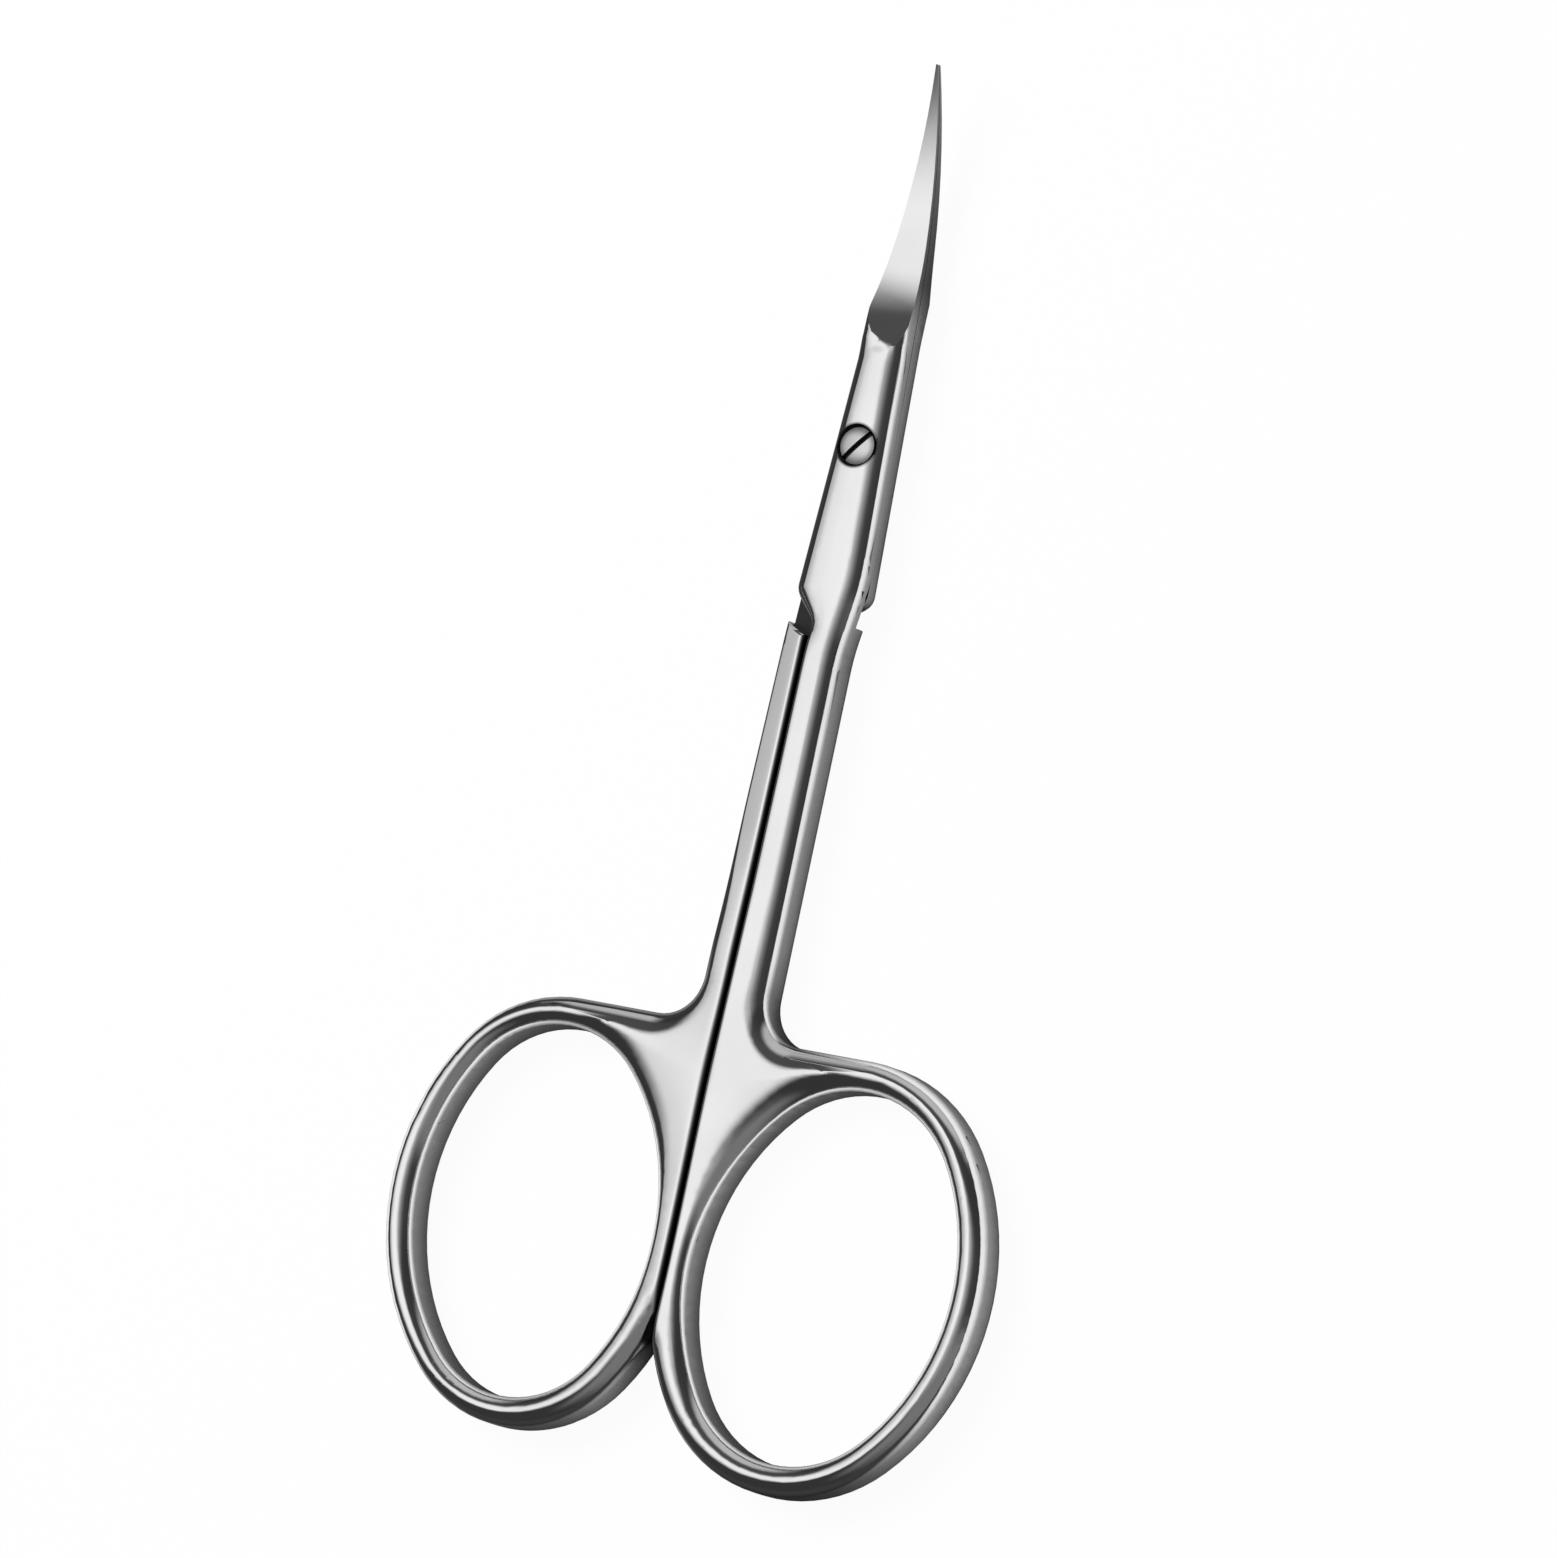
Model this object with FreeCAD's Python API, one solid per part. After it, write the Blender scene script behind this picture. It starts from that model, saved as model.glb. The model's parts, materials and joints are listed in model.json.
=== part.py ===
"""Curved cuticle scissors: two forged halves lapped over each other on one slotted pivot screw.

Sizes are in millimetres. The pivot axis stands on the plan's zero point, z = 0 is the middle of
the thickness, the tips point along +Y and the front half's ring is on the +X side. Each half is
first drawn with its parting face on x = 0 and its own shank and ring on the +x side, with its lap
in the upper layer, and is then placed. The last step moves the tool onto the plane it lies on.
"""
import math
import os
from collections import namedtuple

import FreeCAD
import Part

V = FreeCAD.Vector
UP = V(0, 0, 1)
ALONG = V(0, 1, 0)
CENTRE = V(0, 0, 0)

# Thickness of the handles, which is also that of the two laps together, and how its edges are broken
thickness = 3.4
edge_round = 0.9
parting_round = 0.4
hole_round = 0.7
hole_bevel = 0.5

# Clearances
lap_gap = 0.06
parting_gap = 0.12
running_clearance = 0.03
head_clearance = 0.02
thread_clearance = 0.01

# How far the pivot axis lies to the +X side of the plane where the two shanks meet
pivot_offset = 0.62

# Blades, measured from the pivot
tip_reach = 25.8
tip_half_width = 0.07
blade_start = 7.5
blade_start_half_width = 1.65
blade_mid_half_width = 0.83
blade_bow = 0.2
curl_start = 12.0
curl_radius = 50.0
scoop_start = 7.3
scoop_end = 13.9
blade_thickness = 0.62
tip_thickness = 0.16
edge_slope_deg = 9.6

# Laps, measured from the pivot
lap_half_width = 2.43
lap_back = 10.1
lap_corner_round = 1.2
notch_reach = 12.2
notch_round = 1.5
side_blend = 15.0
bar_end_round = 1.2

# Shanks, measured from the parting plane and from the pivot
front_shank_width_top = 2.45
front_shank_width_bottom = 2.75
back_shank_width_top = 1.95
back_shank_width_bottom = 2.3
shank_top = 13.6
shank_bottom = 35.0
shoulder_outer = 11.9
shoulder_inner = 13.0
shoulder_bevel = 0.2
web_round = 3.0
ring_foot_round = 5.0

# Rings: their width, the shape and half sizes of the finger holes, and the wall beside the parting plane
front_ring_width = 2.08
back_ring_width = 1.95
ring_growth_at_parting = 0.52
hole_lean_deg = 5.0
front_oval_fullness = 0.28
front_hole_half_width = 9.77
front_hole_half_length = 12.6
front_hole_wall = 1.37
front_hole_from_pivot = 54.5
back_oval_fullness = 0.25
back_hole_half_width = 9.13
back_hole_half_length = 12.47
back_hole_wall = 1.78
back_hole_from_pivot = 53.6

# Pivot screw
head_diameter = 2.5
head_height = 0.75
head_dome = 0.14
head_below_face = 0.05
recess_clearance = 0.2
slot_width = 0.38
slot_depth = 0.42
slot_turn_deg = 50.0
stem_diameter = 1.8
thread_diameter = 1.6
screw_end_inset = 0.05

# Reach of a cut past the body, so that no cut ends on one of its faces, and a length taken as nothing
past = 3.0
tiny = 1e-6

# The two halves share one drawing and differ in these sizes
Half = namedtuple("Half", "rest_side pivot_x shank_width_top shank_width_bottom ring_width "
                  "oval_fullness hole_centre hole_half_width hole_half_length")
FRONT = Half(-1, pivot_offset, front_shank_width_top, front_shank_width_bottom, front_ring_width,
             front_oval_fullness, V(front_hole_half_width + front_hole_wall, -front_hole_from_pivot, 0),
             front_hole_half_width, front_hole_half_length)
BACK = Half(1, -pivot_offset, back_shank_width_top, back_shank_width_bottom, back_ring_width,
            back_oval_fullness, V(back_hole_half_width + back_hole_wall, -back_hole_from_pivot, 0),
            back_hole_half_width, back_hole_half_length)


def line(start, end):
    return Part.LineSegment(start, end).toShape()


def arc(start, middle, end):
    return Part.Arc(start, middle, end).toShape()


def turn_arc(centre, start, end):
    """Arc about a centre, the short way from one point to another."""
    half_way = (start - centre).normalize() + (end - centre).normalize()
    return arc(start, centre + half_way.normalize() * (start - centre).Length, end)


def rounded_path(corners):
    """Edges from the first point to the last, straight but for a round of given radius at each corner."""
    edges = []
    here = corners[0][0]
    for (before, _), (corner, radius), (after, _) in zip(corners, corners[1:], corners[2:]):
        back = (before - corner).normalize()
        ahead = (after - corner).normalize()
        half_angle = back.getAngle(ahead) / 2
        centre = corner + (back + ahead).normalize() * (radius / math.sin(half_angle))
        start = corner + back * (radius / math.tan(half_angle))
        end = corner + ahead * (radius / math.tan(half_angle))
        edges += [line(here, start), turn_arc(centre, start, end)]
        here = end
    return edges + [line(here, corners[-1][0])]


def leaving_arc(start, direction, end):
    """Arc that leaves a point in a direction and ends at another point, in the YZ plane."""
    direction = V(direction).normalize()
    normal = V(0, -direction.z, direction.y)
    chord = end - start
    radius = chord.Length ** 2 / (2 * chord.dot(normal))
    centre = start + normal * radius
    middle = (start + end) * 0.5 - centre
    return arc(start, centre + middle.normalize() * abs(radius), end)


def slab(face, low, high):
    """A plan face made solid between two heights."""
    solid = face.extrude(UP * (high - low))
    solid.translate(UP * low)
    return solid


def drum(diameter, low, high):
    """Cylinder on the pivot axis between two heights."""
    return Part.makeCylinder(diameter / 2, high - low, UP * low)


def mating_height(distance):
    """Height of the surface between the two blades at a distance from the pivot axis."""
    run = max(distance - curl_start, 0.0)
    return curl_radius - math.sqrt(curl_radius ** 2 - run ** 2)


class Oval:
    """Oval of four tangent arcs, about two end centres and two flank centres, leaning at the top."""

    def __init__(self, centre, half_width, half_length, fullness):
        lean = math.radians(hole_lean_deg)
        upward = V(math.sin(lean), math.cos(lean), 0)
        outward = V(math.cos(lean), -math.sin(lean), 0)
        slimness = half_width / half_length
        self.end_radius = half_width * (fullness + (1 - fullness) * slimness)
        spare = half_width ** 2 + half_length ** 2 - 2 * half_length * self.end_radius
        self.flank_radius = spare / (2 * (half_width - self.end_radius))
        self.top = centre + upward * (half_length - self.end_radius)
        self.bottom = centre - upward * (half_length - self.end_radius)
        self.outer = centre - outward * (self.flank_radius - half_width)
        self.inner = centre + outward * (self.flank_radius - half_width)

    def joint(self, end, flank):
        """Where the arc of an end meets that of a flank."""
        return flank + (end - flank).normalize() * self.flank_radius

    def lower_arcs(self, start):
        """From a point on the inner flank, round the bottom and up the outer flank."""
        inner_foot = self.joint(self.bottom, self.inner)
        outer_foot = self.joint(self.bottom, self.outer)
        return [turn_arc(self.inner, start, inner_foot),
                turn_arc(self.bottom, inner_foot, outer_foot),
                turn_arc(self.outer, outer_foot, self.joint(self.top, self.outer))]

    def wire(self):
        inner_head = self.joint(self.top, self.inner)
        head = turn_arc(self.top, self.joint(self.top, self.outer), inner_head)
        return Part.Wire(self.lower_arcs(inner_head) + [head])


def upright_edge(solid, point):
    """The edge along Z that stands on a plan point."""
    uprights = [edge for edge in solid.Edges if edge.BoundBox.ZLength > thickness / 2]
    return min(uprights, key=lambda edge: (edge.CenterOfMass - point).Length)


def is_in(shape, group):
    return any(shape.isSame(other) for other in group)


def face_edges(solid):
    """Edges of a blank's two flat faces: those of its outside, and those of its finger hole."""
    caps = [face for face in solid.Faces if abs(abs(face.CenterOfMass.z) - thickness / 2) < tiny]
    outside = [edge for face in caps for edge in face.OuterWire.Edges]
    return outside, [edge for face in caps for edge in face.Edges if not is_in(edge, outside)]


def bevel_hole(solid, rest_side):
    """Bevel the finger hole on the side that the tool lies on."""
    hole = face_edges(solid)[1]
    return solid.makeChamfer(hole_bevel, [edge for edge in hole if edge.CenterOfMass.z * rest_side > 0])


def round_rims(solid, rest_side):
    """Round the other edges of a blank's two faces, less where it lies beside the other half."""
    outside, hole = face_edges(solid)
    parting = [edge for edge in outside if edge.BoundBox.XLength < tiny
               and abs(edge.CenterOfMass.x - parting_gap / 2) < tiny]
    parting_ends = [end for edge in parting for end in edge.Vertexes]
    radii = []
    for number, edge in enumerate(solid.Edges, 1):
        if is_in(edge, hole):
            if edge.CenterOfMass.z * rest_side < 0:
                radii.append((number, hole_round, hole_round))
        elif is_in(edge, parting):
            radii.append((number, parting_round, parting_round))
        elif is_in(edge, outside):
            if not any(is_in(end, parting_ends) for end in edge.Vertexes):
                radii.append((number, edge_round, edge_round))
            elif edge.CenterOfMass.y > -shank_bottom:
                radii.append((number, edge_round, parting_round))
            else:
                radii.append((number, parting_round, edge_round))
    document = FreeCAD.newDocument()
    blank = document.addObject("Part::Feature", "blank")
    blank.Shape = solid
    rounded = document.addObject("Part::Fillet", "rounded")
    rounded.Base = blank
    rounded.Edges = radii
    document.recompute()
    return rounded.Shape.Solids[0]


def half_blank(half):
    """Forged blank of one half: bar for lap and blade, shank, web and ring, with rounded edges."""
    parting_x = parting_gap / 2
    shift = ring_growth_at_parting / 2
    hole = Oval(half.hole_centre, half.hole_half_width, half.hole_half_length, half.oval_fullness)
    ring = Oval(half.hole_centre - V(shift, 0, 0), half.hole_half_width + half.ring_width + shift,
                half.hole_half_length + half.ring_width, half.oval_fullness)
    drop = math.sqrt(ring.flank_radius ** 2 - (ring.inner.x - parting_x) ** 2)
    foot = V(parting_x, ring.inner.y - drop, 0)
    crown = ring.top + V(0, ring.end_radius, 0)

    bar_end = tip_reach + past
    left, right = half.pivot_x - blade_start_half_width, half.pivot_x + blade_start_half_width
    bar = rounded_path([
        (crown, 0),
        (V(half.shank_width_bottom, crown.y, 0), web_round),
        (V(half.shank_width_top, -shank_top, 0), side_blend),
        (V(half.pivot_x + lap_half_width, -lap_back + lap_corner_round, 0), side_blend),
        (V(right, blade_start, 0), side_blend),
        (V(right, bar_end, 0), bar_end_round),
        (V(left, bar_end, 0), bar_end_round),
        (V(left, blade_start, 0), side_blend),
        (V(half.pivot_x - lap_half_width, -lap_back, 0), lap_corner_round),
        (V(parting_x, -notch_reach, 0), notch_round),
        (foot, 0),
    ])
    head = turn_arc(ring.top, ring.joint(ring.top, ring.outer), crown)
    outline = Part.Wire(ring.lower_arcs(foot) + [head] + bar)
    plate = Part.Face(outline).cut(Part.Face(hole.wire())).Faces[0]
    solid = slab(plate, -thickness / 2, thickness / 2)
    solid = solid.makeFillet(ring_foot_round, [upright_edge(solid, foot)])
    return round_rims(bevel_hole(solid, half.rest_side), half.rest_side)


def shoulder_line(x):
    """How far from the pivot the lap ends, at a distance from the parting plane."""
    return -shoulder_inner + x * (shoulder_inner - shoulder_outer) / front_shank_width_top


def lap_clearing(pivot_x):
    """Layer under the flat of a lap, from the shoulder to the pivot, in the half's own frame."""
    side = 2 * thickness
    corners = [V(pivot_x - side, 0, 0), V(pivot_x + side, 0, 0),
               V(pivot_x + side, shoulder_line(pivot_x + side), 0),
               V(pivot_x - side, shoulder_line(pivot_x - side), 0)]
    return slab(Part.Face(Part.makePolygon(corners + corners[:1])), -thickness, lap_gap / 2)


def shoulder_bevelling():
    """Corner taken off the outer edge of a shoulder, in the half's own frame."""
    heel = V(0, shoulder_line(0), -thickness / 2)
    along = V(1, shoulder_line(1) - shoulder_line(0), 0).normalize()
    into = V(along.y, -along.x, 0)
    corners = [heel + into * shoulder_bevel, heel + UP * shoulder_bevel, heel - (into + UP) * past]
    face = Part.Face(Part.makePolygon(corners + corners[:1]))
    face.translate(along * -thickness)
    return face.extrude(along * 3 * thickness)


def tip_block():
    """Extra height of the blanks where the blades curl up, ground away all round later."""
    low = V(-lap_half_width, scoop_end - past, -thickness)
    return Part.makeBox(2 * lap_half_width, tip_reach + past - scoop_end, 2 * thickness, low)


def blade_clearing(side):
    """Space on the far side of the mating surface: below it for the front half, above for the back."""
    reach = tip_reach + 2 * past
    lift = side * lap_gap / 2
    far = -side * 2 * thickness
    inner = V(0, 0, lift)
    bend = V(0, curl_start, lift)
    half_way = (curl_start + reach) / 2
    outer = V(0, reach, mating_height(reach) + lift)
    profile = Part.Wire([
        line(V(0, 0, far), inner),
        line(inner, bend),
        arc(bend, V(0, half_way, mating_height(half_way) + lift), outer),
        line(outer, V(0, reach, far)),
        line(V(0, reach, far), V(0, 0, far)),
    ])
    face = Part.Face(profile)
    face.rotate(CENTRE, UP, -90)
    return face.revolve(CENTRE, UP, 180)


def outer_grind(side):
    """What is ground off a blade's outer face: above the front blade, below the back one."""
    def face_point(distance, wall):
        return V(0, distance, mating_height(distance) + side * (lap_gap / 2 + wall))

    base = face_point(scoop_end, blade_thickness)
    half_way = (scoop_end + tip_reach) / 2
    blade = arc(base, face_point(half_way, (blade_thickness + tip_thickness) / 2),
                face_point(tip_reach, tip_thickness))
    heading = blade.tangentAt(blade.FirstParameter)
    entry = V(0, scoop_start, side * thickness / 2)
    scoop = leaving_arc(base, heading * -1, entry)
    rise = scoop.tangentAt(scoop.LastParameter)
    tip = blade.Vertexes[-1].Point
    out = blade.tangentAt(blade.LastParameter)
    run_in = entry + rise * past
    run_out = tip + out * past
    far = side * 3 * thickness
    profile = Part.Wire([
        line(V(0, run_in.y, far), run_in),
        line(run_in, entry),
        scoop,
        blade,
        line(tip, run_out),
        line(run_out, V(0, run_out.y, far)),
        line(V(0, run_out.y, far), V(0, run_in.y, far)),
    ])
    half_span = V(2 * thickness, 0, -2 * thickness * math.tan(math.radians(edge_slope_deg)))
    face = Part.Face(profile)
    face.translate(half_span * -1)
    return face.extrude(half_span * 2)


def side_grind():
    """What is ground off the bars beside the blades, seen in plan."""
    middle = (blade_start + tip_reach) / 2

    def edge(sign):
        return arc(V(sign * blade_start_half_width, blade_start, 0),
                   V(blade_bow + sign * blade_mid_half_width, middle, 0),
                   V(sign * tip_half_width, tip_reach, 0))

    left, right = edge(-1), edge(1)
    outline = Part.Wire([
        line(right.Vertexes[0].Point, left.Vertexes[0].Point),
        left,
        line(left.Vertexes[1].Point, right.Vertexes[1].Point),
        right,
    ])
    reach = 2 * thickness
    around = Part.makePlane(2 * reach, tip_reach + 2 * past - blade_start, V(-reach, blade_start, 0))
    return slab(around.cut(Part.Face(outline)).Faces[0], -2 * thickness, 2 * thickness)


def front_half():
    half = half_blank(FRONT).cut(lap_clearing(pivot_offset)).cut(shoulder_bevelling())
    half.translate(V(-pivot_offset, 0, 0))
    half = half.fuse(tip_block()).cut(blade_clearing(1)).cut(outer_grind(1)).cut(side_grind())
    top = thickness / 2
    recess_floor = top - head_below_face - head_height - head_clearance
    half = half.cut(drum(head_diameter + 2 * recess_clearance, recess_floor, top + past))
    return half.cut(drum(stem_diameter + 2 * running_clearance, -past, top))


def back_half():
    half = half_blank(BACK).cut(lap_clearing(-pivot_offset)).cut(shoulder_bevelling())
    half.rotate(CENTRE, ALONG, 180)
    half.translate(V(-pivot_offset, 0, 0))
    half = half.fuse(tip_block()).cut(blade_clearing(-1)).cut(outer_grind(-1)).cut(side_grind())
    return half.cut(drum(thread_diameter + 2 * thread_clearance, -thickness, thickness))


def pivot_screw():
    """Screw with a low domed head and one slot, a plain stem and a threaded end as a cylinder."""
    head_top = thickness / 2 - head_below_face
    seat = head_top - head_height
    rim = head_top - head_dome
    ball_radius = ((head_diameter / 2) ** 2 + head_dome ** 2) / (2 * head_dome)
    head = drum(head_diameter, seat, rim + head_dome)
    head = head.common(Part.makeSphere(ball_radius, UP * (head_top - ball_radius)))
    slot = Part.makeBox(2 * head_diameter, slot_width, 2 * slot_depth,
                        V(-head_diameter, -slot_width / 2, head_top - slot_depth))
    slot.rotate(CENTRE, UP, slot_turn_deg)
    stem = drum(stem_diameter, 0, seat)
    thread = drum(thread_diameter, -thickness / 2 + screw_end_inset, 0)
    return head.fuse([stem, thread]).removeSplitter().cut(slot)


def main():
    pieces = {"front_half": front_half(), "back_half": back_half(), "pivot_screw": pivot_screw()}
    whole = Part.makeCompound(list(pieces.values())).optimalBoundingBox(False)
    to_frame = V(-whole.Center.x, -whole.Center.y, -whole.ZMin)
    os.makedirs("parts", exist_ok=True)
    for name, solid in pieces.items():
        solid.translate(to_frame)
        solid.exportStep(f"parts/{name}.step")
        print(name, solid.ShapeType, solid.isValid(), len(solid.Solids), round(solid.Volume, 3))
    print("pivot axis at", round(to_frame.x, 4), round(to_frame.y, 4))
    print("size", round(whole.XLength, 3), round(whole.YLength, 3), round(whole.ZLength, 3))


main()
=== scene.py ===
"""Looks of curved cuticle scissors: two polished steel halves and a slotted pivot screw, on a pale table."""
import json
import math

import bmesh
import bpy
import numpy as np
from mathutils import Matrix, Vector
from mathutils.geometry import delaunay_2d_cdt


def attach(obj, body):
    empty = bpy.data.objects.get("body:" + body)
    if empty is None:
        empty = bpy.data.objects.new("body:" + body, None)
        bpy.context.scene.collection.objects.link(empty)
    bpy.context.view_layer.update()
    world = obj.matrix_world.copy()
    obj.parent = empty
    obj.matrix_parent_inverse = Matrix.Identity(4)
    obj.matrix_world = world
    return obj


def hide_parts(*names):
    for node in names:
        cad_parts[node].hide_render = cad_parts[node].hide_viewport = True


bl_info = {
    "name": "Cuticle scissors",
    "version": (1, 0, 0),
    "blender": (4, 5, 0),
    "location": "3D View > Sidebar > Scissors",
    "description": "Builds the looks of a pair of curved cuticle scissors around its CAD frame",
    "category": "Object",
}

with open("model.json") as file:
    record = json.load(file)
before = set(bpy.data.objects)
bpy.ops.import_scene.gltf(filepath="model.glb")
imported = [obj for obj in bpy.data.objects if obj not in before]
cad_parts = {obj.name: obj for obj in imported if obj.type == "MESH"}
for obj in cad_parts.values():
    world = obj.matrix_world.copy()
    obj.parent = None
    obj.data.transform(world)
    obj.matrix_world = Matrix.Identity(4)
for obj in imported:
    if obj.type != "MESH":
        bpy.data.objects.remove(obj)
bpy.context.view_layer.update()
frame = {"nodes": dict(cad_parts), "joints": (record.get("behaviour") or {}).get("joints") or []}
PIVOT = Vector(frame["joints"][0]["pos_m"])
MM = 0.001
DEG = math.pi / 180

# Places on the tool: its upper flat, the line between the closed shanks, the scoop, the screw's recess,
# the webs, the ends of the handles and where the straight shank begins and ends below the pivot
TOP = 3.4 * MM
PARTING_X = PIVOT.x - 0.62 * MM
BLADE_Y = PIVOT.y + 7 * MM
RECESS_RADIUS = 1.45 * MM
UPPER_Z = 2.1 * MM
WEB_BELOW = 30 * MM
HANDLE_START_Y = PIVOT.y - 62 * MM
HANDLE_END_Y = PIVOT.y + 6.8 * MM
SHANK_FADE_MM = (11, 12, 26, 34)

# Sizes used while meshes are reshaped
UPRIGHT = 0.035
LEVEL = 0.9999
SAME_HEIGHT = 1e-6
SHARP_ANGLE = 28 * DEG
SAME_POINT = 1e-7
CAD_POINT = 0.002 * MM
CUT_TOLERANCE = 0.01 * MM
WALL_SAMPLE = 0.12 * MM
HALF_SAMPLE = 0.07 * MM
BATCH = 400

# The photograph's frame and how the tool lies in it
IMAGE_WIDTH_PX = 1557
IMAGE_HEIGHT_PX = 1558
PIVOT_PX = (867.5, 450.0)
PX_PER_MM = 15.14


class Wire:
    """A shader socket in Python expressions: + - * and / add the Math nodes that they need."""

    def __init__(self, tree, socket=None):
        self.tree = tree
        self.socket = socket

    def make(self, kind, settings=None, values=None, out=0):
        """Any node: its type, its settings, which are set first, and the values or links of its sockets."""
        node = self.tree.nodes.new(kind)
        for name, value in (settings or {}).items():
            if name == "stops":
                ramp = node.color_ramp
                while len(ramp.elements) < len(value):
                    ramp.elements.new(1.0)
                for element, (place, colour) in zip(ramp.elements, value):
                    element.position = place
                    element.color = colour
            else:
                setattr(node, name, value)
        for key, value in (values or {}).items():
            if isinstance(value, Wire):
                self.tree.links.new(value.socket, node.inputs[key])
            else:
                node.inputs[key].default_value = value
        return Wire(self.tree, node.outputs[out] if len(node.outputs) else None)

    def other(self, name):
        """Another output of the same node."""
        return Wire(self.tree, self.socket.node.outputs[name])

    def math(self, operation, *terms):
        return self.make("ShaderNodeMath", {"operation": operation}, dict(enumerate((self,) + terms)))

    def __add__(self, term):
        return self.math("ADD", term)

    __radd__ = __add__

    def __sub__(self, term):
        return self.math("SUBTRACT", term)

    def __rsub__(self, term):
        return self.make("ShaderNodeMath", {"operation": "SUBTRACT"}, {0: term, 1: self})

    def __mul__(self, term):
        return self.math("MULTIPLY", term)

    __rmul__ = __mul__

    def __truediv__(self, term):
        return self.math("DIVIDE", term)

    def ramp(self, low, high, start=0.0, end=1.0):
        """Smooth step from start to end while the value goes from low to high."""
        return self.make("ShaderNodeMapRange", {"interpolation_type": "SMOOTHSTEP"},
                         {"Value": self, "From Min": low, "From Max": high, "To Min": start, "To Max": end})


def fresh_tree(owner):
    owner.use_nodes = True
    owner.node_tree.nodes.clear()
    return Wire(owner.node_tree)


class SteelSettings(bpy.types.PropertyGroup):
    """Polished steel of the two halves and the screw."""

    colour: bpy.props.FloatVectorProperty(
        name="Steel colour", description="Base colour of the polished steel", subtype="COLOR",
        size=4, min=0, max=1, default=(0.80, 0.80, 0.81, 1.0))
    roughness: bpy.props.FloatProperty(
        name="Roughness", description="Mean roughness of the polish", default=0.09, min=0.0, max=1.0,
        subtype="FACTOR")
    crown: bpy.props.FloatProperty(
        name="Crown", description="How much higher the middle of a flat is than its edges",
        default=0.12 * MM, unit="LENGTH")
    shank_tilt: bpy.props.FloatProperty(
        name="Shank tilt", description="How far the back half's shank slopes down from the parting line",
        default=math.radians(8.5), subtype="ANGLE")
    shank_reach: bpy.props.FloatProperty(
        name="Shank edge", description="Width of the rounding along the outer edge of the back half's shank",
        default=0.45 * MM, unit="LENGTH")
    web_crown: bpy.props.FloatProperty(
        name="Web crown", description="How much higher the middle of a web is than its edges",
        default=0.38 * MM, unit="LENGTH")
    crown_reach: bpy.props.FloatProperty(
        name="Crown reach", description="Distance from the edge over which a flat rises",
        default=2.6 * MM, unit="LENGTH")
    edge_reach: bpy.props.FloatProperty(
        name="Edge reach", description="Width of the rounding along the laps and shanks",
        default=1.25 * MM, unit="LENGTH")
    web_reach: bpy.props.FloatProperty(
        name="Web reach", description="Widest rounding on the webs between the shanks and the rings",
        default=1.8 * MM, unit="LENGTH")
    reach_share: bpy.props.FloatProperty(
        name="Reach share", description="Part of the local width that one edge's rounding may take",
        default=0.47, min=0, max=0.5, subtype="FACTOR")
    edge_depth: bpy.props.FloatProperty(
        name="Edge depth", description="Depth of the rounding against the CAD model's",
        default=1.3, min=0.5, max=1.5)
    spacing: bpy.props.FloatProperty(
        name="Flat spacing", description="Distance between the points that carry a flat's crown",
        default=0.28 * MM, unit="LENGTH")


class ScrewSettings(bpy.types.PropertyGroup):
    """Thread of the pivot screw."""

    crest: bpy.props.FloatProperty(
        name="Crest radius", description="From the screw's axis to the crest of its thread",
        default=0.79 * MM, unit="LENGTH")
    ridge: bpy.props.FloatProperty(
        name="Ridge", description="Half the height of the thread's ridge", default=0.08 * MM, unit="LENGTH")
    pitch: bpy.props.FloatProperty(
        name="Pitch", description="From one turn of the thread to the next", default=0.35 * MM, unit="LENGTH")
    turns: bpy.props.FloatProperty(
        name="Turns", description="Number of turns of the thread", default=4.0, min=0.5)
    start: bpy.props.FloatProperty(
        name="Start", description="Height of the thread's lower end", default=0.16 * MM, unit="LENGTH")


class StageSettings(bpy.types.PropertyGroup):
    """Table, light and camera."""

    floor_colour: bpy.props.FloatVectorProperty(
        name="Table colour", description="Colour of the table", subtype="COLOR", size=4, min=0, max=1,
        default=(0.9, 0.9, 0.9, 1.0))
    floor_glow: bpy.props.FloatProperty(
        name="Table lift",
        description="Share of the table that stays white for the camera whatever the light",
        default=0.955, min=0, max=1, subtype="FACTOR")
    mirrored_glow: bpy.props.FloatProperty(
        name="Mirrored table", description="Brightness of the open table in what the steel mirrors",
        default=1.0, min=0, max=1, subtype="FACTOR")
    view_tilt: bpy.props.FloatProperty(
        name="View tilt", description="Angle between the view and the screw axis", subtype="ANGLE",
        default=math.radians(29))
    view_turn: bpy.props.FloatProperty(
        name="View turn", description="Turn of the view about the screw axis", subtype="ANGLE",
        default=math.radians(9))
    picture_lean: bpy.props.FloatProperty(
        name="Picture lean", description="Lean of the tool in the picture", subtype="ANGLE",
        default=math.radians(12.5))
    distance: bpy.props.FloatProperty(
        name="Camera distance", description="From the tool to the camera", unit="LENGTH", default=1.5)


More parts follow.
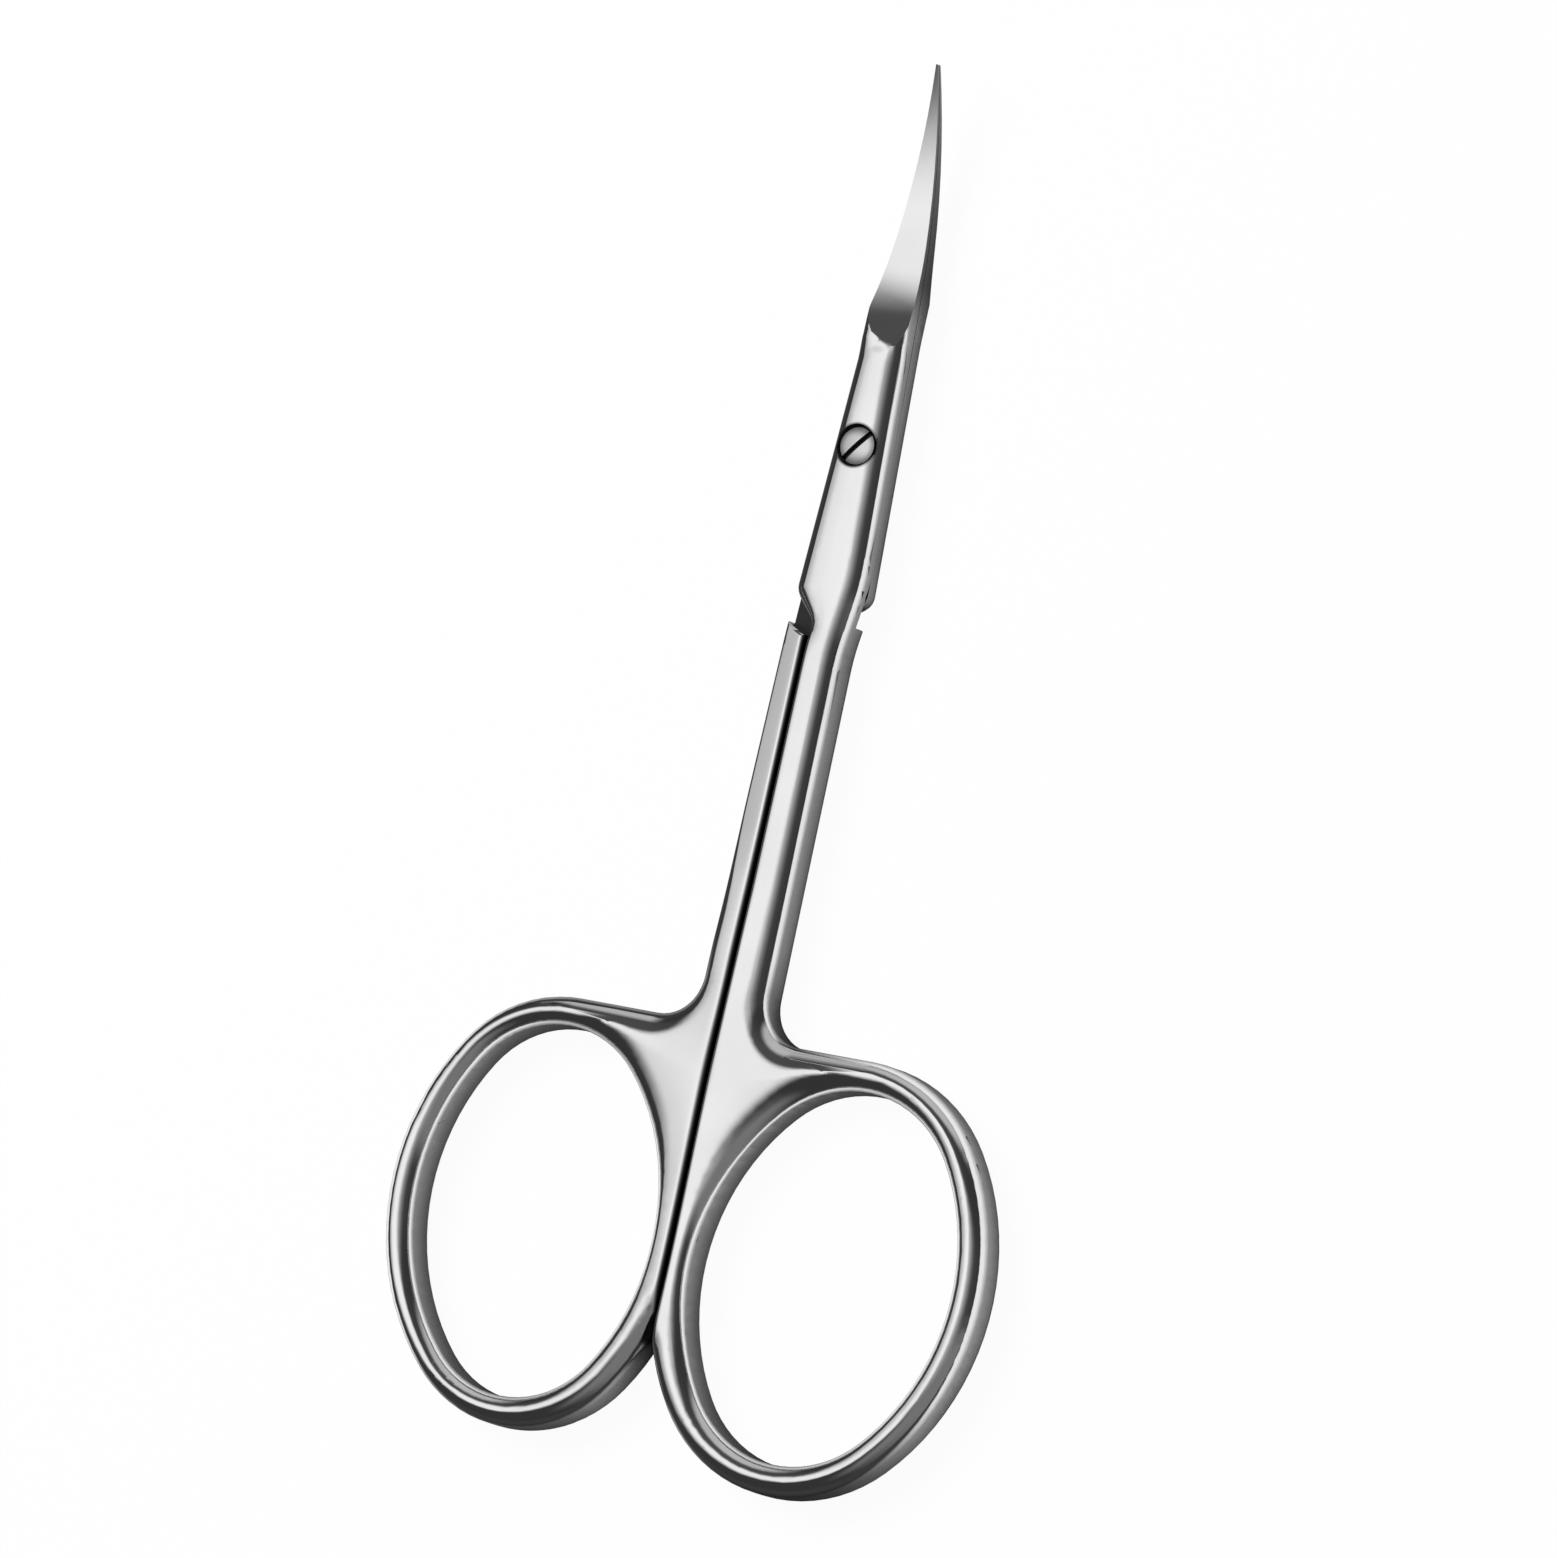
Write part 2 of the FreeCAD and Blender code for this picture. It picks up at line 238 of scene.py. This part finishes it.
def steel_material(name, settings, rough_shade_mask):
    """Polished steel with fine polishing lines, and rougher metal darkened with painted shade where the mask
    is 1.
    """
    material = bpy.data.materials.new(name)
    base = fresh_tree(material)
    place = base.make("ShaderNodeTexCoord", out="Object")
    stretched = base.make("ShaderNodeMapping", values={"Vector": place, "Scale": (7000.0, 500.0, 2500.0)})
    lines = base.make("ShaderNodeTexNoise", values={"Vector": stretched, "Scale": 1.0, "Detail": 3.0})
    patches = base.make("ShaderNodeTexNoise", values={"Vector": place, "Scale": 180.0, "Detail": 4.0})
    rough_and_shaded = rough_shade_mask(base.make("ShaderNodeSeparateXYZ", values={0: place}))
    roughness = settings.roughness + (lines - 0.5) * 0.04 + (patches - 0.5) * 0.05 + rough_and_shaded * 0.35
    # Darker in random patches, and painted shade where the mask is 1
    shade = (1.0 - patches.ramp(0.35, 0.7) * 0.05) * (1.0 - rough_and_shaded * 0.93)
    tone = base.make("ShaderNodeVectorMath", {"operation": "SCALE"},
                     {0: settings.colour[:3], "Scale": shade})
    bump = base.make("ShaderNodeBump", values={"Strength": 0.012, "Distance": 0.0001, "Height": lines})
    steel = base.make("ShaderNodeBsdfPrincipled",
                      values={"Base Color": tone, "Metallic": 1.0, "Roughness": roughness, "Normal": bump})
    base.make("ShaderNodeOutputMaterial", values={"Surface": steel})
    return material


def from_axis(x):
    """Distance from the screw's axis."""
    aside, along = x - PIVOT.x, x.other("Y") - PIVOT.y
    return (aside * aside + along * along).math("SQRT")


def half_painted_shade(x):
    """Painted shade on a half, where it is also rougher: between the shanks, in the recess and on the laps'
    mating faces, which are left rough from grinding.
    """
    y = x.other("Y")
    groove = (x - PARTING_X).math("ABSOLUTE").ramp(0.12 * MM, 0.36 * MM, 1.0, 0.0)
    groove = groove * y.ramp(PIVOT.y - 12.8 * MM, PIVOT.y - 12.0 * MM, 1.0, 0.0)
    ground = x.make("ShaderNodeAttribute", {"attribute_name": "ground"}, out="Fac")
    recess = from_axis(x).ramp(RECESS_RADIUS, RECESS_RADIUS + 0.17 * MM, 0.7, 0.0)
    return groove.math("MAXIMUM", ground).math("MAXIMUM", recess)


def screw_tone_and_shade(x):
    """Where the screw is darker and rougher: a little all over, and with painted shade in its slot, down its
    sides and a little round the rim of its head.
    """
    rim = from_axis(x).ramp(0.8 * MM, 1.27 * MM)
    slot = x.other("Z").ramp(TOP - 0.4 * MM, TOP - 0.2 * MM, 1.0, 0.0)
    return (0.22 + 0.45 * rim).math("MAXIMUM", slot)


def merged_copy(node):
    """A joined-up copy of a CAD node's loose triangles."""
    mesh = bmesh.new()
    mesh.from_mesh(frame["nodes"][node].data)
    bmesh.ops.remove_doubles(mesh, verts=mesh.verts, dist=CAD_POINT)
    return mesh


def divide_along(mesh, start, end, step):
    """Cut rounded strips and walls across the tool, so that long straight edges get points in between."""
    long = [f for e in mesh.edges if e.calc_length() > 2 * step
            for f in e.link_faces if abs(f.normal.z) < LEVEL]
    long = list(dict.fromkeys(long))
    geometry = long + list(dict.fromkeys(e for f in long for e in f.edges))
    geometry += list(dict.fromkeys(v for f in long for v in f.verts))
    for y in np.arange(start, end, step):
        geometry = bmesh.ops.bisect_plane(mesh, geom=geometry, dist=CUT_TOLERANCE,
                                          plane_co=(0, y, 0), plane_no=(0, 1, 0))["geom"]
    mesh.normal_update()


def redraw_flat(mesh, height, step):
    """Redraw the flat at a height with points inside it, so that it can be shaped."""
    flat = [f for f in mesh.faces
            if f.normal.z > LEVEL and abs(f.calc_center_median().z - height) < SAME_HEIGHT]
    inside = set(flat)
    rim = [e for f in flat for e in f.edges if sum(g in inside for g in e.link_faces) == 1]
    rim = list(dict.fromkeys(rim))
    corners = list(dict.fromkeys(v for e in rim for v in e.verts))
    number = {v: i for i, v in enumerate(corners)}
    places = np.array([v.co[:2] for v in corners])
    pairs = [tuple(number[v] for v in e.verts) for e in rim]

    def crossings(points):
        """Whether each point is inside the flat's outline."""
        a = places[[p[0] for p in pairs]]
        b = places[[p[1] for p in pairs]]
        odd = np.zeros(len(points), bool)
        for (ax, ay), (bx, by) in zip(a, b):
            spans = (ay > points[:, 1]) != (by > points[:, 1])
            if ay != by:
                odd ^= spans & (points[:, 0] < ax + (points[:, 1] - ay) * (bx - ax) / (by - ay))
        return odd

    def from_edge(points, ends):
        a = places[[p[0] for p in ends]]
        d = places[[p[1] for p in ends]] - a
        nearest = np.full(len(points), 1e9)
        for start, run in zip(a, d):
            t = np.clip(((points - start) @ run) / max(run @ run, 1e-18), 0, 1)
            nearest = np.minimum(nearest, np.linalg.norm(points - start - t[:, None] * run, axis=1))
        return nearest

    low, high = places.min(0), places.max(0)
    grid = []
    for row, y in enumerate(np.arange(low[1], high[1], step * math.sqrt(3) / 2)):
        xs = np.arange(low[0] + (row % 2) * step / 2, high[0], step)
        grid.append(np.stack([xs, np.full(len(xs), y)], 1))
    grid = np.concatenate(grid)
    grid = grid[crossings(grid)]
    grid = grid[from_edge(grid, pairs) > 0.6 * step]

    everything = np.concatenate([places, grid])
    triangles = delaunay_2d_cdt([Vector(p) for p in everything / step], pairs, [], 1, 1e-6)
    points, faces = triangles[0], triangles[2]
    if len(points) != len(everything):
        raise RuntimeError(f"the flat was redrawn with {len(points)} points and not {len(everything)}")
    bmesh.ops.delete(mesh, geom=flat, context="FACES_ONLY")
    for i, source in enumerate(triangles[3][:len(corners)]):
        if list(source) != [i]:
            raise RuntimeError("the flat's corners were reordered")
    verts = corners + [mesh.verts.new((x, y, height)) for x, y in grid]
    drawn = np.array([p[:] for p in points]) * step
    middles = np.array([drawn[list(f)].mean(0) for f in faces])
    for face, keep in zip(faces, crossings(middles)):
        if keep:
            mesh.faces.new([verts[i] for i in face])
    loose = [e for e in mesh.edges if not e.link_faces]
    bmesh.ops.delete(mesh, geom=loose, context="EDGES")
    mesh.normal_update()


def wall_tops(mesh):
    """Points along the tops of the upright walls, the way into the metal and their depth below the flat."""
    rows = []
    for edge in mesh.edges:
        low = [f for f in edge.link_faces if abs(f.normal.z) < UPRIGHT]
        if len(edge.link_faces) != 2 or len(low) != 1 or edge.verts[0].co.z < UPPER_Z:
            continue
        other = next(f for f in edge.link_faces if f is not low[0])
        a, b = (v.co for v in edge.verts)
        if not 0 < other.normal.z < 0.5 or a.y > BLADE_Y + 0.2 * MM:
            continue
        inward = -low[0].normal
        count = math.ceil((b - a).length / WALL_SAMPLE)
        for number in range(count):
            p = a.lerp(b, (number + 0.5) / count)
            rows.append((p.x, p.y, inward.x, inward.y, TOP - p.z))
    return np.array(rows)


def left_shank(points):
    """1 on the straight part of the back half's shank, fading to 0 at the lap and at the web."""
    along = np.interp((PIVOT.y - points[:, 1]) / MM, SHANK_FADE_MM, (0, 1, 1, 0))
    return along * (points[:, 0] < PARTING_X)


def round_over(mesh, settings):
    """Give the upper edges the wide, elliptic rounding of hand polishing, and the flats a slight crown."""
    tops = wall_tops(mesh)
    at, into, depth = tops[:, :2], tops[:, 2:4], tops[:, 4]
    gaps = at[None] - at[:, None]
    ahead = (gaps * into[:, None]).sum(2)
    aside = np.abs(gaps[..., 0] * into[:, None, 1] - gaps[..., 1] * into[:, None, 0])
    facing = (into @ into.T) < -0.3
    width = np.where(facing & (aside < 0.25 * MM) & (ahead > 0.3 * MM), ahead, 1.0).min(1)
    free = np.clip((depth - 0.42 * MM) / (0.2 * MM), 0, 1)
    down_tool = np.clip((PIVOT.y - at[:, 1] - WEB_BELOW) / (10 * MM), 0, 1)
    limit = settings.edge_reach + (settings.web_reach - settings.edge_reach) * down_tool
    limit += (settings.shank_reach - limit) * left_shank(at)
    reach = np.minimum(settings.reach_share * width, limit)
    deep = depth * (1 + free * (settings.edge_depth - 1))
    near = np.exp(-(gaps ** 2).sum(2) / (1.0 * MM) ** 2) * ((into @ into.T) > 0.4)
    reach = (near * reach).sum(1) / near.sum(1)
    reach = free * reach + (1 - free) * 1.15 * depth
    reach = (near * reach).sum(1) / near.sum(1)

    top = {v for f in mesh.faces if f.normal.z > UPRIGHT for v in f.verts
           if v.co.z > UPPER_Z and v.co.y < BLADE_Y
           and (v.co - PIVOT).xy.length > RECESS_RADIUS - 0.01 * MM}
    top = list(top)
    places = np.array([v.co[:2] for v in top])
    for low in range(0, len(top), BATCH):
        some = places[low:low + BATCH]
        gaps = some[:, None] - at[None]
        aside = np.abs(gaps[..., 0] * into[:, 1] - gaps[..., 1] * into[:, 0])
        apart = np.hypot((gaps * into).sum(2), np.maximum(aside - HALF_SAMPLE, 0))
        short = np.clip(1 - apart / reach, 0, 1)
        fall = (deep * (1 - np.sqrt(1 - short ** 2))).max(1)
        web = np.clip((PIVOT.y - some[:, 1] - WEB_BELOW) / (8 * MM), 0, 1)
        height = settings.crown + web * (settings.web_crown - settings.crown)
        span = settings.crown_reach * (1 + web)
        rise = height * (1 - (1 - np.minimum(apart[:, free > 0.5].min(1) / span, 1)) ** 2)
        fall += math.tan(settings.shank_tilt) * left_shank(some) * np.maximum(PARTING_X - some[:, 0], 0)
        keep = np.clip((BLADE_Y - 0.1 * MM - some[:, 1]) / (0.8 * MM), 0, 1)
        for vert, drop, lift, share in zip(top[low:low + BATCH], fall, rise, keep):
            vert.co.z += share * (TOP - drop + lift - vert.co.z)
    bmesh.ops.remove_doubles(mesh, verts=mesh.verts, dist=SAME_POINT)


def finished_mesh(mesh, name, material):
    """Object from a bmesh, smooth but for its sharp edges, with normals weighted by area."""
    bmesh.ops.recalc_face_normals(mesh, faces=mesh.faces)
    for face in mesh.faces:
        face.smooth = True
    for edge in mesh.edges:
        edge.smooth = len(edge.link_faces) == 2 and edge.calc_face_angle(0.0) < SHARP_ANGLE
    # Faces that the halves' steel darkens with painted shade and makes rougher: the laps' level mating faces
    # and the hollow of the screw's recess
    ground = mesh.faces.layers.float.new("ground")
    for face in mesh.faces:
        middle = face.calc_center_median()
        level = (abs(face.normal.z) > 0.98 and abs(middle.z - TOP / 2) < 0.1 * MM
                 and middle.y < BLADE_Y)
        hollow = (middle - PIVOT).xy.length < RECESS_RADIUS + 0.05 * MM and middle.z < TOP - 0.1 * MM
        face[ground] = float(level or hollow)
    data = bpy.data.meshes.new(name)
    mesh.to_mesh(data)
    mesh.free()
    data.materials.append(material)
    piece = bpy.data.objects.new(name, data)
    bpy.context.scene.collection.objects.link(piece)
    weighted = piece.modifiers.new("Weighted normals", "WEIGHTED_NORMAL")
    weighted.keep_sharp = True
    weighted.mode = "FACE_AREA"
    solid = bpy.data.meshes.new_from_object(piece.evaluated_get(bpy.context.evaluated_depsgraph_get()))
    piece.modifiers.clear()
    piece.data = solid
    solid.name = name
    return piece


class SCISSORS_OT_halves(bpy.types.Operator):
    """Polished front and back halves, with the flats of their handles slightly crowned"""
    bl_idname = "scissors.halves"
    bl_label = "Forged halves"

    def execute(self, context):
        settings = context.scene.scissors_steel
        material = steel_material("polished_steel", settings, half_painted_shade)
        for body in ("front", "back"):
            node = f"{body}_half"
            mesh = merged_copy(node)
            divide_along(mesh, HANDLE_START_Y, HANDLE_END_Y, 2 * settings.spacing)
            redraw_flat(mesh, TOP, settings.spacing)
            round_over(mesh, settings)
            piece = finished_mesh(mesh, f"{body}_half_polished", material)
            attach(piece, body)
            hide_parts(node)
        return {"FINISHED"}


def thread_tree():
    """Geometry Nodes: a ridge that winds round the screw's axis."""
    tree = bpy.data.node_groups.new("screw_thread", "GeometryNodeTree")
    for name, kind in (("Turns", "Float"), ("Pitch", "Float"), ("Crest", "Float"), ("Ridge", "Float"),
                       ("Start", "Vector"), ("Material", "Material")):
        tree.interface.new_socket(name, in_out="INPUT", socket_type=f"NodeSocket{kind}")
    tree.interface.new_socket("Thread", in_out="OUTPUT", socket_type="NodeSocketGeometry")
    turns = Wire(tree).make("NodeGroupInput")
    pitch, crest, ridge = turns.other("Pitch"), turns.other("Crest"), turns.other("Ridge")
    path = turns.make("GeometryNodeCurveSpiral",
                      values={"Resolution": 32, "Rotations": turns, "Start Radius": crest - ridge,
                              "End Radius": crest - ridge, "Height": turns * pitch})
    upright = turns.make("GeometryNodeSetCurveNormal", {"mode": "Z_UP"}, {"Curve": path})
    section = turns.make("GeometryNodeCurvePrimitiveCircle", values={"Resolution": 4, "Radius": ridge})
    swept = turns.make("GeometryNodeCurveToMesh",
                       values={"Curve": upright, "Profile Curve": section, "Fill Caps": True})
    placed = turns.make("GeometryNodeTransform",
                        values={"Geometry": swept, "Translation": turns.other("Start")})
    real = turns.make("GeometryNodeRealizeInstances", values={"Geometry": placed})
    steel = turns.make("GeometryNodeSetMaterial",
                       values={"Geometry": real, "Material": turns.other("Material")})
    turns.make("NodeGroupOutput", values={"Thread": steel})
    return tree


class SCISSORS_OT_screw(bpy.types.Operator):
    """Pivot screw with a real thread"""
    bl_idname = "scissors.screw"
    bl_label = "Pivot screw"

    def execute(self, context):
        settings = context.scene.scissors_screw
        material = steel_material("screw_steel", context.scene.scissors_steel, screw_tone_and_shade)
        mesh = merged_copy("pivot_screw")
        for vert in mesh.verts:
            away = (vert.co - PIVOT).xy
            if 0.5 * settings.crest < away.length < 1.05 * settings.crest and vert.co.z < TOP / 2 + 0.02 * MM:
                vert.co.xy = PIVOT.xy + away * (1 - 1.6 * settings.ridge / settings.crest)
        screw = finished_mesh(mesh, "pivot_screw_turned", material)
        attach(screw, "back")
        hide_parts("pivot_screw")
        thread = self.thread(context, settings, material)
        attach(thread, "back")
        return {"FINISHED"}

    def thread(self, context, settings, material):
        piece = bpy.data.objects.new("pivot_screw_thread", bpy.data.meshes.new("pivot_screw_thread"))
        context.scene.collection.objects.link(piece)
        modifier = piece.modifiers.new("Thread", "NODES")
        modifier.node_group = thread_tree()
        values = {"Turns": settings.turns, "Pitch": settings.pitch, "Crest": settings.crest,
                  "Ridge": settings.ridge, "Start": (PIVOT.x, PIVOT.y, settings.start), "Material": material}
        for item in modifier.node_group.interface.items_tree:
            if item.in_out == "INPUT":
                modifier[item.identifier] = values[item.name]
        solid = bpy.data.meshes.new_from_object(piece.evaluated_get(context.evaluated_depsgraph_get()))
        piece.modifiers.clear()
        piece.data = solid
        return piece


class SCISSORS_OT_stage(bpy.types.Operator):
    """Pale table, soft studio light and the camera at the photograph's angle"""
    bl_idname = "scissors.stage"
    bl_label = "Table, light and camera"

    def execute(self, context):
        settings = context.scene.scissors_stage
        self.floor(settings)
        self.surroundings(context.scene)
        self.key_light(context.scene)
        self.camera(context.scene, settings)
        context.scene.view_settings.view_transform = "Standard"
        return {"FINISHED"}

    def floor(self, settings):
        half = 4.0
        mesh = bpy.data.meshes.new("table")
        mesh.from_pydata([(-half, -half, 0), (half, -half, 0), (half, half, 0), (-half, half, 0)],
                         [], [(0, 1, 2, 3)])
        mesh.transform(Matrix.Translation((0, 0, -0.02 * MM)))
        table = bpy.data.objects.new("table", mesh)
        bpy.context.scene.collection.objects.link(table)
        material = bpy.data.materials.new("table_white")
        base = fresh_tree(material)
        path = base.make("ShaderNodeLightPath", out="Is Camera Ray")
        mirrored = path.other("Is Glossy Ray") + path.other("Is Transmission Ray")
        matt = base.make("ShaderNodeBsdfDiffuse", values={"Color": settings.floor_colour})
        # Painted contact shadow: what the steel mirrors of the table darkens near the tool with its ambient
        # occlusion
        open_sky = base.make("ShaderNodeAmbientOcclusion", {"samples": 8}, {"Distance": 6 * MM}, out="AO")
        x = base.make("ShaderNodeSeparateXYZ", values={0: base.make("ShaderNodeTexCoord", out="Object")})
        y = x.other("Y")
        # Painted shade on the table that only the steel's reflections show: left of the shanks, below the
        # rings and right of the blades
        left = x.ramp(-7 * MM, -2 * MM, 1.0, 0.0) * y.ramp(PIVOT.y - 42 * MM, PIVOT.y - 32 * MM)
        below = y.ramp(PIVOT.y - 71 * MM, PIVOT.y - 64 * MM, 1.0, 0.0)
        beside_blade = x.ramp(PIVOT.x, PIVOT.x + 1.5 * MM) * y.ramp(PIVOT.y + 8 * MM, PIVOT.y + 12 * MM)
        painted_shade_patches = left.math("MAXIMUM", below).math("MAXIMUM", 0.75 * beside_blade)
        bright = settings.mirrored_glow * open_sky.math("POWER", 4.0) * (1.0 - 0.95 * painted_shade_patches)
        glow = base.make("ShaderNodeEmission", values={"Color": path + mirrored * bright, "Strength": 1.0})
        mixed = base.make("ShaderNodeMixShader",
                          values={0: path * settings.floor_glow + mirrored, 1: matt, 2: glow})
        base.make("ShaderNodeOutputMaterial", values={"Surface": mixed})
        mesh.materials.append(material)

    def surroundings(self, scene):
        world = bpy.data.worlds.new("studio")
        scene.world = world
        base = fresh_tree(world)
        way = base.make("ShaderNodeTexCoord", out="Generated")
        x = base.make("ShaderNodeSeparateXYZ", values={0: way})
        y, z = x.other("Y"), x.other("Z")
        turn = x.math("ARCTAN2", z)
        lean = y.math("ARCSINE")
        stops = [(place, (value, value, value, 1.0)) for place, value in (
            (-90, 0.0), (-67, 0.0), (-61, 0.45), (-46, 0.64), (-37, 0.84), (-29, 1.0), (-14, 1.04),
            (-6, 0.98), (3, 0.62), (24, 0.28), (38, 0.11), (52, 0.02), (90, 0.0))]
        across = base.make("ShaderNodeValToRGB",
                           {"stops": [((place + 90) / 180, colour) for place, colour in stops]},
                           {0: turn / math.pi + 0.5})
        along = lean.ramp(-22 * DEG, 1 * DEG) * lean.ramp(14 * DEG, 29 * DEG, 1.0, 0.04)
        fill = turn.ramp(-8 * DEG, 25 * DEG) * lean.ramp(-75 * DEG, -35 * DEG)
        fill = fill * lean.ramp(-14 * DEG, 0.0, 1.0, 0.0)
        value = 0.04 + across * along + 0.17 * fill + 0.5 * lean.ramp(44 * DEG, 62 * DEG)
        light = base.make("ShaderNodeBackground", values={"Color": value, "Strength": 1.0})
        base.make("ShaderNodeOutputWorld", values={"Surface": light})

    def key_light(self, scene):
        lamp = bpy.data.lights.new("softbox", "AREA")
        lamp.shape = "RECTANGLE"
        lamp.size = 0.5
        lamp.size_y = 0.4
        lamp.energy = 5.0
        softbox = bpy.data.objects.new("softbox", lamp)
        way = Vector((-0.55, 0.35, 0.8)).normalized()
        aimed = way.to_track_quat("Z", "Y").to_matrix().to_4x4()
        softbox.matrix_world = Matrix.Translation(way * 0.7) @ aimed
        softbox.visible_glossy = False
        scene.collection.objects.link(softbox)

    def camera(self, scene, settings):
        tilt, turn, lean = settings.view_tilt, settings.view_turn, settings.picture_lean
        toward = Vector((math.sin(tilt) * math.cos(turn), -math.sin(tilt) * math.sin(turn), math.cos(tilt)))
        along = (Vector((0, 1, 0)) - toward * toward.y).normalized()
        across = along.cross(toward)
        right = across * math.cos(lean) + along * math.sin(lean)
        up = -across * math.sin(lean) + along * math.cos(lean)
        px = MM / PX_PER_MM
        middle = (PIVOT - right * (PIVOT_PX[0] - IMAGE_WIDTH_PX / 2) * px
                  - up * (IMAGE_HEIGHT_PX / 2 - PIVOT_PX[1]) * px)
        data = bpy.data.cameras.new("camera")
        data.sensor_fit = "HORIZONTAL"
        data.sensor_width = 36
        data.lens = data.sensor_width * settings.distance / (IMAGE_WIDTH_PX * px)
        data.clip_start = 0.01
        camera = bpy.data.objects.new("camera", data)
        turned = Matrix((right, up, toward)).transposed().to_4x4()
        camera.matrix_world = Matrix.Translation(middle + toward * settings.distance) @ turned
        scene.collection.objects.link(camera)
        scene.camera = camera


class SCISSORS_PT_panel(bpy.types.Panel):
    """Lists the scissors' settings and builders"""
    bl_idname = "SCISSORS_PT_panel"
    bl_label = "Cuticle scissors"
    bl_space_type = "VIEW_3D"
    bl_region_type = "UI"
    bl_category = "Scissors"

    def draw(self, context):
        scene = context.scene
        for group in (scene.scissors_steel, scene.scissors_screw, scene.scissors_stage):
            box = self.layout.box()
            for name in group.__annotations__:
                box.prop(group, name)
        for operator in OPERATORS:
            self.layout.operator(operator.bl_idname)


OPERATORS = (SCISSORS_OT_halves, SCISSORS_OT_screw, SCISSORS_OT_stage)
CLASSES = (SteelSettings, ScrewSettings, StageSettings) + OPERATORS + (SCISSORS_PT_panel,)


def register():
    for item in CLASSES:
        bpy.utils.register_class(item)
    bpy.types.Scene.scissors_steel = bpy.props.PointerProperty(type=SteelSettings)
    bpy.types.Scene.scissors_screw = bpy.props.PointerProperty(type=ScrewSettings)
    bpy.types.Scene.scissors_stage = bpy.props.PointerProperty(type=StageSettings)


def unregister():
    del bpy.types.Scene.scissors_stage
    del bpy.types.Scene.scissors_screw
    del bpy.types.Scene.scissors_steel
    for item in reversed(CLASSES):
        bpy.utils.unregister_class(item)


def main():
    register()
    bpy.ops.scissors.halves()
    bpy.ops.scissors.screw()
    bpy.ops.scissors.stage()


if __name__ == "__main__":
    main()
